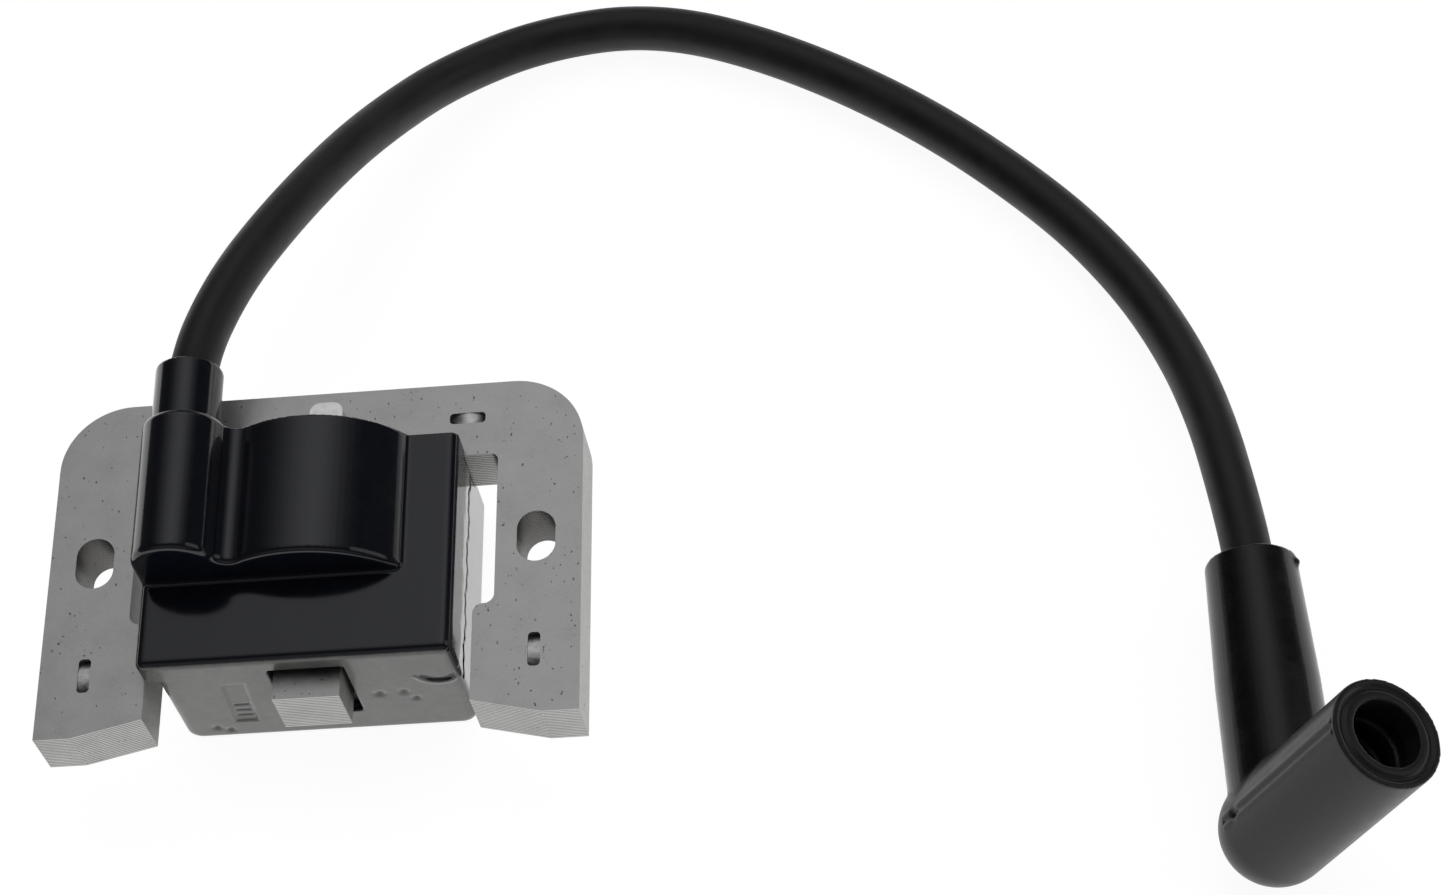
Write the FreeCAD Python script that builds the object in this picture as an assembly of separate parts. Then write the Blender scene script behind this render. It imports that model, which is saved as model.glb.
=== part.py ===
import FreeCAD
import Part
import math
import os
from FreeCAD import Vector

# Magneto ignition coil lying on the back of its housing. Millimetres, +Z up.
# X runs across the two mounting slots, Y from the pole ends towards the top bar of the core,
# and Z = 0 is the flat back of the housing. The origin is under the middle of the core.

# --- Core ---
CORE_WIDTH = 76.5
CORE_HEIGHT = 53.0
CORE_BACK_Z = 9.9
CORE_FRONT_Z = 18.8
SHEET_COUNT = 18
SHEET_GAP = 0.01
CORNER_RADIUS = 10.2
LEG_INNER_X = 26.0
SHOE_INNER_X = 23.0
SHOE_STEP_Y = -9.4
SHOE_TOE_Y = -24.2
FOOT_FLAT_X = 33.0
WINDOW_TOP_Y = 14.6
WINDOW_CORNER = 1.0
STEP_RADIUS = 1.45
POLE_HALF_WIDTH = 4.75
POLE_END_Y = -22.4

# --- Mounting slots and staking tongues ---
SLOT_SPACING = 63.5
SLOT_WIDTH = 5.5
SLOT_LENGTH = 8.0
SLOT_Y = 0.8
TONGUE_LENGTH = 5.2
TONGUE_WIDTH = 1.75
TONGUE_SINK = 0.45
TONGUE_CORNER = 0.6
TONGUE_TOP = (21.4, 20.8)
TONGUE_LEG = (31.8, -17.0)

# --- Housing ---
HOUSING_LEFT = -21.3
HOUSING_RIGHT = 21.0
HOUSING_BOTTOM_Y = -18.7
HOUSING_TOP_Y = 15.9
HOUSING_FRONT_Z = 23.5
FLANGE_LEFT = -23.4
FLANGE_GAP = 0.05
WALL = 1.6
EDGE_ROUND = 1.3
REAR_CORNER = 2.4
POLE_OPENING_Z = (6.2, 20.2)
COIL_AXIS_Z = (CORE_BACK_Z + CORE_FRONT_Z) / 2
BULGE_RADIUS = 16.6
BULGE_BOTTOM_Y = -5.9
TOWER_X = -17.4
TOWER_Z = 28.0
TOWER_RADIUS = 6.0
TOWER_TOP_Y = 16.4
TOWER_BORE_END_Y = 14.0
COLLAR_RADIUS = 4.85
COLLAR_END_Y = 25.8
VALLEY_ROUND = 2.5
RIM_ROUND = 1.0
POTTING_RECESS = 0.5

# --- Room under the tower, for the wire to the lead ---
THROAT_X = (TOWER_X - 3.5, TOWER_X + 5.5)
THROAT_Z = (CORE_FRONT_Z - 4.0, CORE_FRONT_Z + 4.0)

# --- Tunnel through the housing for the centre pole ---
TUNNEL_HALF_X = 5.3
TUNNEL_BACK_Z = 9.1
TUNNEL_FRONT_Z = 19.6
TUNNEL_WALL = 0.9

# --- Bobbin, windings ---
BOBBIN_BOTTOM_Y = HOUSING_BOTTOM_Y + WALL
BOBBIN_TOP_Y = 12.8
FLANGE_THICK = 0.8
FLANGE_HALF = (10.4, 7.3)
TRIGGER_END_Y = -13.8
CHARGE_END_Y = -5.1
WINDING_ROUND = 2.0
PRIMARY_THICK = 1.0
SECONDARY_BORE = 9.4
SECONDARY_CORE = 10.2
SECONDARY_WOUND = 12.6
SECONDARY_FLANGE = 13.0
SECONDARY_SECTIONS = 5
SECONDARY_FLANGE_THICK = 0.8

# --- Tower contact and its wire ---
CONTACT_RADIUS = 2.8
CONTACT_THICK = 1.2
CONTACT_SHANK = 4.0
CONTACT_POINT = 2.0
CONTACT_TIP_RADIUS = 0.1
LINK_RADIUS = 0.4
LINK_DROP = 2.6
LINK_RISE = 1.4

# --- Earth spring on the back of the pole ---
SPRING_Y = (3.0, 7.5, 12.0)
SPRING_WIDTH = 4.0
SPRING_THICK = 0.3

# --- Blade terminal at the top of the housing ---
BLADE_WIDTH = 4.8
BLADE_THICK = 0.8
BLADE_X = 1.0
BLADE_Z = CORE_FRONT_Z + 1.0
BLADE_TIP_Y = 23.9
BLADE_ROOT_Y = 13.3
BLADE_RISE = 4.0
BLADE_TIP_ROUND = 1.5

# --- Circuit board and its components ---
BOARD_X = 17.5
BOARD_THICK = 1.6
BOARD_Y = (-16.4, 12.6)
BOARD_Z = (2.2, 21.0)
CAPACITOR_DEPTH = 6.4
CAPACITOR_Y = (-16.2, -7.0)
CAPACITOR_Z = (3.4, 18.4)
CAPACITOR_ROUND = 0.6
THYRISTOR_RADIUS = 2.3
THYRISTOR_Y = (-3.4, 1.2)
THYRISTOR_Z = 4.9
THYRISTOR_OFF_BOARD = 1.6
DIODE_RADIUS = 1.3
DIODE_Y = (5.6, 10.8)
DIODE_Z = (3.9, 19.9)
RESISTOR_RADIUS = 0.9
RESISTOR_LENGTH = 3.6
RESISTOR_Y = (-3.6, 1.0)
FRONT_ROW_Z = 19.9
LEAD_CLEARANCE = 0.05
COIL_WIRE_RADIUS = 0.25
KILL_WIRE_RADIUS = 0.3

# --- Spark lead ---
LEAD_DIAMETER = 7.0
LEAD_FIT = 0.05
CONDUCTOR_RADIUS = 0.8
LEAD_ROUTE = [
    (TOWER_X, 14.5, TOWER_Z),
    (-17.6, 26.5, 28.0),
    (-13.2, 40.5, 27.5),
    (-7.0, 54.0, 24.2),
    (0.0, 69.5, 17.6),
    (6.5, 81.0, 11.8),
    (14.5, 90.6, 7.4),
    (28.5, 98.8, 4.4),
    (46.5, 100.6, 3.75),
    (66.0, 93.0, 3.7),
    (87.5, 79.0, 3.7),
    (106.2, 61.4, 3.75),
    (116.9, 46.9, 4.3),
    (123.5, 32.8, 5.9),
    (127.3, 19.0, 8.0),
    (129.4, 5.0, 9.8),
    (130.76, -6.5, 10.3),
    (131.22, -17.86, 10.3),
]

# --- Elbow boot ---
ELBOW = Vector(132.3, -44.94, 10.3)
TUBE_DIRECTION = Vector(-0.04, 1.0, 0.0).normalize()
TUBE_LENGTH = 38.6
TUBE_WAIST = 20.0
TUBE_END_RADIUS = 6.4
TUBE_WAIST_RADIUS = 7.15
TUBE_ROOT_RADIUS = 7.4
TUBE_MOUTH_RADIUS = 4.2
TUBE_MOUTH_DEPTH = 7.0
LEAD_SEAT = 27.1
BARREL_RADIUS = 7.8
BARREL_LEAN = 61.85
BARREL_TURN = 5.4
BARREL_MOUTH = 26.0
BARREL_HEEL = 2.8
BORE_RADIUS = 4.8
BORE_DEPTH = 19.0
BORE_GROOVE_RADIUS = 5.4
BORE_GROOVE_WIDTH = 2.2
BORE_GROOVES = (4.0, 8.0, 12.0)
CLIP_RADIUS = 3.7
CLIP_BORE_RADIUS = 3.2
CLIP_SLIT_RADIUS = 0.5
CLIP_ROOM_RADIUS = 4.2
CLIP_ROOM_DEPTH = 30.0
WIRE_ROOM_RADIUS = 2.3
STEM_RADIUS = 0.7
STEM_SPAN = (3.8, 13.0)
CRIMP_RADIUS = 1.6
CRIMP_SPAN = (13.0, 21.0)

BARREL_AXIS = Vector(
    math.cos(math.radians(BARREL_LEAN)) * math.cos(math.radians(BARREL_TURN)),
    math.cos(math.radians(BARREL_LEAN)) * math.sin(math.radians(BARREL_TURN)),
    math.sin(math.radians(BARREL_LEAN)),
)
BORE_MOUTH = ELBOW + BARREL_AXIS * BARREL_MOUTH
Y_AXIS = Vector(0, 1, 0)
Z_AXIS = Vector(0, 0, 1)


def save(node, *solids):
    """Write the solids of one node to its STEP file."""
    shape = solids[0] if len(solids) == 1 else Part.makeCompound(list(solids))
    shape.exportStep(f"parts/{node}.step")
    print(f"{node}: {len(shape.Solids)} solid(s), {shape.Volume:.1f} mm3, valid {shape.isValid()}")


def block(x, y, z):
    """A box from three (low, high) pairs."""
    low = Vector(x[0], y[0], z[0])
    return Part.makeBox(x[1] - x[0], y[1] - y[0], z[1] - z[0], low)


def rod(radius, start, end):
    """A round bar between two points."""
    line = end - start
    return Part.makeCylinder(radius, line.Length, start, line)


def ring(outer, inner, start, end):
    """A tube between two points."""
    return rod(outer, start, end).cut(rod(inner, start, end))


def along_y(radius, x, z, y):
    """A round bar parallel to Y between two Y values."""
    return rod(radius, Vector(x, y[0], z), Vector(x, y[1], z))


def closed_wire(points):
    return Part.Wire(Part.makePolygon(points + [points[0]]).Edges)


def edges_where(shape, test):
    """Edges whose middle point passes the test."""
    found = []
    for edge in shape.Edges:
        middle = edge.valueAt((edge.FirstParameter + edge.LastParameter) / 2)
        if test(edge, middle):
            found.append(edge)
    return found


def runs_along(edge, direction):
    if not isinstance(edge.Curve, Part.Line):
        return False
    return abs(edge.Curve.Direction.dot(direction)) > 0.999


# ---------------------------------------------------------------- core


def core_outline():
    """Half of the E outline on X > 0, from the top of the bar round to the pole."""
    half = CORE_WIDTH / 2
    top = CORE_HEIGHT / 2
    foot = -CORE_HEIGHT / 2
    return [
        (half, top),
        (half, foot),
        (FOOT_FLAT_X, foot),
        (SHOE_INNER_X, SHOE_TOE_Y),
        (SHOE_INNER_X, SHOE_STEP_Y),
        (LEG_INNER_X, SHOE_STEP_Y),
        (LEG_INNER_X, WINDOW_TOP_Y),
        (POLE_HALF_WIDTH, WINDOW_TOP_Y),
        (POLE_HALF_WIDTH, POLE_END_Y),
    ]


def slot_cutter(x, z, thickness):
    """An obround along Y, as wide as a mounting slot."""
    radius = SLOT_WIDTH / 2
    reach = SLOT_LENGTH / 2 - radius
    cutter = block((x - radius, x + radius), (SLOT_Y - reach, SLOT_Y + reach), (z, z + thickness))
    for end in (-reach, reach):
        cutter = cutter.fuse(Part.makeCylinder(radius, thickness, Vector(x, SLOT_Y + end, z)))
    return cutter


def tongue_places():
    """Centre and half sizes of each staking tongue."""
    long_half = TONGUE_LENGTH / 2
    short_half = TONGUE_WIDTH / 2
    places = []
    for side in (-1, 1):
        places.append((side * TONGUE_TOP[0], TONGUE_TOP[1], long_half, short_half))
        places.append((side * TONGUE_LEG[0], TONGUE_LEG[1], short_half, long_half))
    return places


def tongue_block(place, low_z, high_z):
    x, y, half_x, half_y = place
    tongue = block((x - half_x, x + half_x), (y - half_y, y + half_y), (low_z, high_z))
    upright = edges_where(tongue, lambda edge, middle: runs_along(edge, Z_AXIS))
    return tongue.makeFillet(TONGUE_CORNER, upright)


def core_sheet(z, thickness):
    """One punched sheet of the core."""
    right = core_outline()
    left = [(-x, y) for x, y in reversed(right)]
    points = [Vector(x, y, z) for x, y in right + left]
    sheet = Part.Face(closed_wire(points)).extrude(Vector(0, 0, thickness))

    def upright(edge, middle, x, y):
        return runs_along(edge, Z_AXIS) and abs(abs(middle.x) - x) < 0.01 and abs(middle.y - y) < 0.01

    rounds = [
        (CORNER_RADIUS, CORE_WIDTH / 2, CORE_HEIGHT / 2),
        (STEP_RADIUS, SHOE_INNER_X, SHOE_STEP_Y),
        (STEP_RADIUS, LEG_INNER_X, SHOE_STEP_Y),
        (WINDOW_CORNER, LEG_INNER_X, WINDOW_TOP_Y),
    ]
    for radius, x, y in rounds:
        corners = edges_where(sheet, lambda edge, middle: upright(edge, middle, x, y))
        sheet = sheet.makeFillet(radius, corners)
    for side in (-1, 1):
        sheet = sheet.cut(slot_cutter(side * SLOT_SPACING / 2, z - 1, thickness + 2))
    for place in tongue_places():
        sheet = sheet.cut(tongue_block(place, z - 1, z + thickness + 1))
    return sheet


def core_laminations():
    pitch = (CORE_FRONT_Z - CORE_BACK_Z) / SHEET_COUNT
    first = core_sheet(CORE_BACK_Z, pitch - SHEET_GAP)
    sheets = []
    for index in range(SHEET_COUNT):
        sheet = first.copy()
        sheet.translate(Vector(0, 0, index * pitch))
        sheets.append(sheet)
    return sheets


def core_tongues():
    """Staked metal that locks the sheets, sunk at the front and proud at the back."""
    low = CORE_BACK_Z - TONGUE_SINK
    high = CORE_FRONT_Z - TONGUE_SINK
    return [tongue_block(place, low, high) for place in tongue_places()]


# ---------------------------------------------------------------- housing


def blade_terminal():
    """Flat blade with rounded tip corners and an upturned root inside the housing."""
    x = (BLADE_X - BLADE_WIDTH / 2, BLADE_X + BLADE_WIDTH / 2)
    blade = block(x, (BLADE_ROOT_Y, BLADE_TIP_Y), (BLADE_Z, BLADE_Z + BLADE_THICK))
    tips = edges_where(blade, lambda edge, middle: runs_along(edge, Z_AXIS) and middle.y > BLADE_TIP_Y - 0.1)
    blade = blade.makeFillet(BLADE_TIP_ROUND, tips)
    root = block(x, (BLADE_ROOT_Y, BLADE_ROOT_Y + BLADE_THICK), (BLADE_Z + BLADE_THICK, BLADE_Z + BLADE_RISE))
    return blade.fuse(root).removeSplitter()


def housing_body(inset):
    """Box behind, beside and in front of the core, shrunk by inset on every closed side."""
    left = HOUSING_LEFT + inset
    right = HOUSING_RIGHT - inset
    bottom = HOUSING_BOTTOM_Y + inset
    top = HOUSING_TOP_Y - inset
    window_top = WINDOW_TOP_Y - 0.2 - inset
    flange_back = CORE_FRONT_Z + FLANGE_GAP
    body = block((left, right), (bottom, top), (0, CORE_BACK_Z - FLANGE_GAP - inset))
    body = body.fuse(block((left, right), (bottom, window_top), (0, flange_back + inset)))
    front_z = (flange_back + inset, HOUSING_FRONT_Z - inset)
    return body.fuse(block((FLANGE_LEFT + inset, right), (bottom, top), front_z)).removeSplitter()


def forms_profile(inset, y):
    """Outline of tower, valley and coil bulge across Y, ending on the core side."""
    floor = CORE_FRONT_Z + FLANGE_GAP + inset
    bulge_radius = BULGE_RADIUS - inset
    tower_radius = TOWER_RADIUS - inset
    valley_radius = VALLEY_ROUND + inset
    bulge_centre = Vector(0, y, COIL_AXIS_Z)
    tower_centre = Vector(TOWER_X, y, TOWER_Z)
    across = bulge_centre - tower_centre
    to_tower = tower_radius + valley_radius
    to_bulge = bulge_radius + valley_radius
    along = (across.Length**2 + to_tower**2 - to_bulge**2) / (2 * across.Length)
    rise = math.sqrt(to_tower**2 - along**2)
    forward = across.normalize()
    outward = Vector(-forward.z, 0, forward.x)
    valley_centre = tower_centre + forward * along + outward * rise
    tower_tangent = tower_centre + (valley_centre - tower_centre).normalize() * tower_radius
    bulge_tangent = bulge_centre + (valley_centre - bulge_centre).normalize() * bulge_radius
    inward = (tower_tangent + bulge_tangent - valley_centre * 2).normalize()
    valley_middle = valley_centre + inward * valley_radius
    tower_left = tower_centre + Vector(-tower_radius, 0, 0)
    bulge_foot = Vector(math.sqrt(bulge_radius**2 - (floor - COIL_AXIS_Z) ** 2), y, floor)
    left_foot = Vector(tower_left.x, y, floor)
    tower_top = tower_centre + Vector(0, 0, tower_radius)
    bulge_top = bulge_centre + Vector(0, 0, bulge_radius)
    edges = [
        Part.LineSegment(left_foot, tower_left),
        Part.Arc(tower_left, tower_top, tower_tangent),
        Part.Arc(tower_tangent, valley_middle, bulge_tangent),
        Part.Arc(bulge_tangent, bulge_top, bulge_foot),
        Part.LineSegment(bulge_foot, left_foot),
    ]
    return Part.Face(Part.Wire([edge.toShape() for edge in edges]))


def front_forms(inset, rim_round):
    """Coil bulge and lead tower on the front of the housing."""
    low = BULGE_BOTTOM_Y + inset
    high = HOUSING_TOP_Y - inset
    forms = forms_profile(inset, low).extrude(Vector(0, high - low, 0))
    if rim_round:
        floor = CORE_FRONT_Z + FLANGE_GAP + inset
        rims = edges_where(forms, lambda edge, middle: abs(middle.y - low) < 0.01 and middle.z > floor + 0.5)
        forms = forms.makeFillet(rim_round, rims)
    return forms


def front_edge(edge, middle):
    """Outer edges of the flat front, at the bottom and both sides."""
    if abs(middle.z - HOUSING_FRONT_Z) > 0.01:
        return False
    low = abs(middle.y - HOUSING_BOTTOM_Y) < 0.01
    return low or abs(middle.x - HOUSING_RIGHT) < 0.01 or abs(middle.x - FLANGE_LEFT) < 0.01


def bottom_side_edge(edge, middle):
    """Edges along Z between the bottom and the two sides."""
    low = abs(middle.y - HOUSING_BOTTOM_Y) < 0.01
    sides = (HOUSING_RIGHT, HOUSING_LEFT, FLANGE_LEFT)
    outer = min(abs(middle.x - side) for side in sides) < 0.01
    return runs_along(edge, Z_AXIS) and low and outer


def rear_corner_edge(edge, middle):
    """Edges along Y where the two sides meet the back."""
    side = min(abs(middle.x - HOUSING_RIGHT), abs(middle.x - HOUSING_LEFT)) < 0.01
    return runs_along(edge, Y_AXIS) and side and abs(middle.z) < 0.01


def housing_outside():
    body = housing_body(0.0)
    body = body.makeFillet(REAR_CORNER, edges_where(body, rear_corner_edge))
    body = body.makeFillet(EDGE_ROUND, edges_where(body, front_edge) + edges_where(body, bottom_side_edge))
    shell = body.fuse(front_forms(0.0, RIM_ROUND))
    cap = (HOUSING_TOP_Y - WALL, TOWER_TOP_Y)
    shell = shell.fuse(along_y(TOWER_RADIUS - 0.2, TOWER_X, TOWER_Z, cap))
    return shell.fuse(along_y(COLLAR_RADIUS, TOWER_X, TOWER_Z, (TOWER_TOP_Y - 1, COLLAR_END_Y)))


def pole_tunnel(grow, y):
    """Rectangular space round the centre pole."""
    x = (-TUNNEL_HALF_X - grow, TUNNEL_HALF_X + grow)
    return block(x, y, (TUNNEL_BACK_Z - grow, TUNNEL_FRONT_Z + grow))


def housing_cavity():
    """Hollow of the housing, open at the back, with the room under the tower."""
    cavity = housing_body(WALL).fuse(front_forms(WALL, 0.0))
    throat_y = (BULGE_BOTTOM_Y + WALL, WINDOW_TOP_Y - WALL - 0.2)
    return cavity.fuse(block(THROAT_X, throat_y, THROAT_Z)).removeSplitter()


def lead_bore():
    start = Vector(TOWER_X, TOWER_BORE_END_Y, TOWER_Z)
    end = Vector(TOWER_X, COLLAR_END_Y + 1, TOWER_Z)
    return rod(LEAD_DIAMETER / 2 + LEAD_FIT, start, end)


def housing_shell(cavity):
    shell = housing_outside().cut(cavity)
    opening_y = (HOUSING_BOTTOM_Y - 1, HOUSING_BOTTOM_Y + WALL)
    shell = shell.cut(block((-TUNNEL_HALF_X, TUNNEL_HALF_X), opening_y, POLE_OPENING_Z))
    shell = shell.cut(pole_tunnel(0.0, (BOBBIN_TOP_Y - 1, HOUSING_TOP_Y + 1)))
    shell = shell.cut(lead_bore())
    return shell.cut(blade_terminal())


# ---------------------------------------------------------------- coils


def bobbin_flange(y):
    half_x, half_z = FLANGE_HALF
    z = (COIL_AXIS_Z - half_z, COIL_AXIS_Z + half_z)
    return block((-half_x, half_x), (y, y + FLANGE_THICK), z)


def pole_bobbin():
    """Moulded bobbin round the centre pole, with four flanges."""
    bobbin = pole_tunnel(TUNNEL_WALL, (BOBBIN_BOTTOM_Y, BOBBIN_TOP_Y))
    for y in (BOBBIN_BOTTOM_Y, TRIGGER_END_Y, CHARGE_END_Y, BOBBIN_TOP_Y - FLANGE_THICK):
        bobbin = bobbin.fuse(bobbin_flange(y))
    return bobbin.cut(pole_tunnel(0.0, (BOBBIN_BOTTOM_Y - 1, BOBBIN_TOP_Y + 1)))


def winding(y, thick):
    """Wound copper round the bobbin, with round corners."""
    coil = pole_tunnel(TUNNEL_WALL + thick, y)
    corners = edges_where(coil, lambda edge, middle: runs_along(edge, Y_AXIS))
    coil = coil.makeFillet(WINDING_ROUND, corners)
    return coil.cut(pole_tunnel(TUNNEL_WALL, (y[0] - 1, y[1] + 1)))


def trigger_winding():
    return winding((BOBBIN_BOTTOM_Y + FLANGE_THICK, TRIGGER_END_Y), 0.9)


def charge_winding():
    return winding((TRIGGER_END_Y + FLANGE_THICK, CHARGE_END_Y), 0.95)


def primary_span():
    return CHARGE_END_Y + FLANGE_THICK, BOBBIN_TOP_Y - FLANGE_THICK


def primary_winding():
    return winding(primary_span(), PRIMARY_THICK)


def coil_ring(outer, inner, y):
    start = Vector(0, y[0], COIL_AXIS_Z)
    return ring(outer, inner, start, Vector(0, y[1], COIL_AXIS_Z))


def secondary_pitch():
    low, high = primary_span()
    return (high - low - SECONDARY_FLANGE_THICK) / SECONDARY_SECTIONS


def secondary_bobbin():
    """Round bobbin divided into sections that keep the high voltage apart."""
    low, high = primary_span()
    bobbin = coil_ring(SECONDARY_CORE, SECONDARY_BORE, (low, high))
    for index in range(SECONDARY_SECTIONS + 1):
        y = low + index * secondary_pitch()
        bobbin = bobbin.fuse(coil_ring(SECONDARY_FLANGE, SECONDARY_BORE, (y, y + SECONDARY_FLANGE_THICK)))
    return bobbin.removeSplitter()


def secondary_winding():
    """One ring of fine wire in each section of the secondary bobbin."""
    rings = []
    for index in range(SECONDARY_SECTIONS):
        y = primary_span()[0] + index * secondary_pitch()
        span = (y + SECONDARY_FLANGE_THICK, y + secondary_pitch())
        rings.append(coil_ring(SECONDARY_WOUND, SECONDARY_CORE, span))
    return rings


def tower_contact():
    """Brass disc at the foot of the lead bore, with a point that pierces the lead."""
    y = TOWER_BORE_END_Y
    shank_end = y + CONTACT_SHANK
    disc = along_y(CONTACT_RADIUS, TOWER_X, TOWER_Z, (y - CONTACT_THICK, y))
    shank = along_y(CONDUCTOR_RADIUS, TOWER_X, TOWER_Z, (y, shank_end))
    foot = Vector(TOWER_X, shank_end, TOWER_Z)
    point = Part.makeCone(CONDUCTOR_RADIUS, CONTACT_TIP_RADIUS, CONTACT_POINT, foot, Y_AXIS)
    return disc.fuse(shank).fuse(point)


def secondary_link():
    """Wire from the last secondary section to the tower contact."""
    y = TOWER_BORE_END_Y - LINK_DROP
    reach = (SECONDARY_FLANGE + 1.15) / math.sqrt(2)
    outer = Vector(-reach, y, COIL_AXIS_Z + reach)
    corner = Vector(TOWER_X, y, TOWER_Z)
    run = rod(LINK_RADIUS, outer, corner)
    rise = rod(LINK_RADIUS, corner, corner + Y_AXIS * LINK_RISE)
    return run.fuse(rise).fuse(Part.makeSphere(LINK_RADIUS, corner))


def earth_spring():
    """Bowed leaf between the back of the pole and its tunnel."""
    low, middle, high = SPRING_Y
    left = -SPRING_WIDTH / 2
    thick = SPRING_THICK
    rise = CORE_BACK_Z - TUNNEL_BACK_Z - thick

    def bow(z):
        return Part.Arc(Vector(left, low, z), Vector(left, middle, z + rise), Vector(left, high, z)).toShape()

    def end(y):
        return Part.makeLine(Vector(left, y, TUNNEL_BACK_Z), Vector(left, y, TUNNEL_BACK_Z + thick))

    edges = [bow(TUNNEL_BACK_Z), end(high), bow(TUNNEL_BACK_Z + thick), end(low)]
    outline = Part.Wire(Part.sortEdges(edges)[0])
    return Part.Face(outline).extrude(Vector(SPRING_WIDTH, 0, 0))


# ---------------------------------------------------------------- electronics


def circuit_board():
    return block((BOARD_X, BOARD_X + BOARD_THICK), BOARD_Y, BOARD_Z)


def storage_capacitor():
    """Boxed film capacitor beside the charge winding."""
    body = block((BOARD_X - CAPACITOR_DEPTH, BOARD_X), CAPACITOR_Y, CAPACITOR_Z)
    return body.makeFillet(CAPACITOR_ROUND, edges_where(body, lambda edge, middle: middle.x < BOARD_X - 0.1))


def switching_thyristor():
    """Half-round plastic package, flat side on the board."""
    barrel = along_y(THYRISTOR_RADIUS, BOARD_X - THYRISTOR_OFF_BOARD, THYRISTOR_Z, THYRISTOR_Y)
    return barrel.common(block((0, BOARD_X), BOARD_Y, BOARD_Z))


def rectifier_diodes():
    x = BOARD_X - DIODE_RADIUS - LEAD_CLEARANCE
    return [along_y(DIODE_RADIUS, x, z, DIODE_Y) for z in DIODE_Z]


def board_resistors():
    x = BOARD_X - RESISTOR_RADIUS - LEAD_CLEARANCE
    return [along_y(RESISTOR_RADIUS, x, FRONT_ROW_Z, (y, y + RESISTOR_LENGTH)) for y in RESISTOR_Y]


def board_links():
    """Wires from the bobbin flanges to the board."""
    links = []
    for y in (BOBBIN_BOTTOM_Y, TRIGGER_END_Y, CHARGE_END_Y):
        middle = y + FLANGE_THICK / 2
        start = Vector(FLANGE_HALF[0], middle, FRONT_ROW_Z)
        links.append(rod(COIL_WIRE_RADIUS, start, Vector(BOARD_X, middle, FRONT_ROW_Z)))
    return links


def kill_link():
    """Wire from the root of the blade terminal to the board."""
    x = BLADE_X + BLADE_WIDTH / 2 + 0.1
    start = Vector(x, BLADE_ROOT_Y + BLADE_THICK / 2, BLADE_Z + BLADE_RISE - 0.5)
    return rod(KILL_WIRE_RADIUS, start, Vector(BOARD_X - 0.1, BOARD_Y[1] - 0.4, BOARD_Z[1] - 0.4))


def potting_fill(cavity, buried):
    """Resin that fills the hollow round everything in it, a little below the rim."""
    resin = cavity.cut(block((-40, 40), (-40, 40), (-1, POTTING_RECESS)))
    resin = resin.cut(pole_tunnel(0.0, (-40, 40))).cut(lead_bore())
    for solid in buried:
        resin = resin.cut(solid)
    return max(resin.Solids, key=lambda solid: solid.Volume)


# ---------------------------------------------------------------- spark lead


def route_tube(points, radius):
    """A tube of straight runs joined by tangent arcs. Returns it with its centreline length."""
    points = [Vector(*point) for point in points]
    path = []
    radii = []
    last = points[0]
    for before, corner, after in zip(points, points[1:], points[2:]):
        inward = before - corner
        outward = after - corner
        reach = 0.45 * min(inward.Length, outward.Length)
        turn = math.pi - inward.getAngle(outward)
        radii.append(reach / math.tan(turn / 2))
        start = corner + inward.normalize() * reach
        end = corner + outward.normalize() * reach
        bisector = (inward + outward).normalize()
        centre = corner + bisector * (radii[-1] / math.cos(turn / 2))
        middle = centre - bisector * radii[-1]
        path.append(Part.LineSegment(last, start).toShape())
        path.append(Part.Arc(start, middle, end).toShape())
        last = end
    path.append(Part.LineSegment(last, points[-1]).toShape())
    spine = Part.Wire(path)
    section = Part.Wire(Part.makeCircle(radius, points[0], points[1] - points[0]))
    tube = spine.makePipeShell([section], True, False)
    print("arc radii", [round(value, 1) for value in radii])
    print(f"tube volume {tube.Volume:.0f}, section times length {math.pi * radius**2 * spine.Length:.0f}")
    print(f"tube length {spine.Length:.1f}, lowest point {tube.BoundBox.ZMin:.2f}")
    return tube


# ---------------------------------------------------------------- elbow boot


def on_tube(distance):
    """Point on the tube's axis, measured from the elbow towards the lead."""
    return ELBOW + TUBE_DIRECTION * distance


def on_barrel(distance):
    """Point on the barrel's axis, measured from the elbow towards the mouth."""
    return ELBOW + BARREL_AXIS * distance


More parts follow.
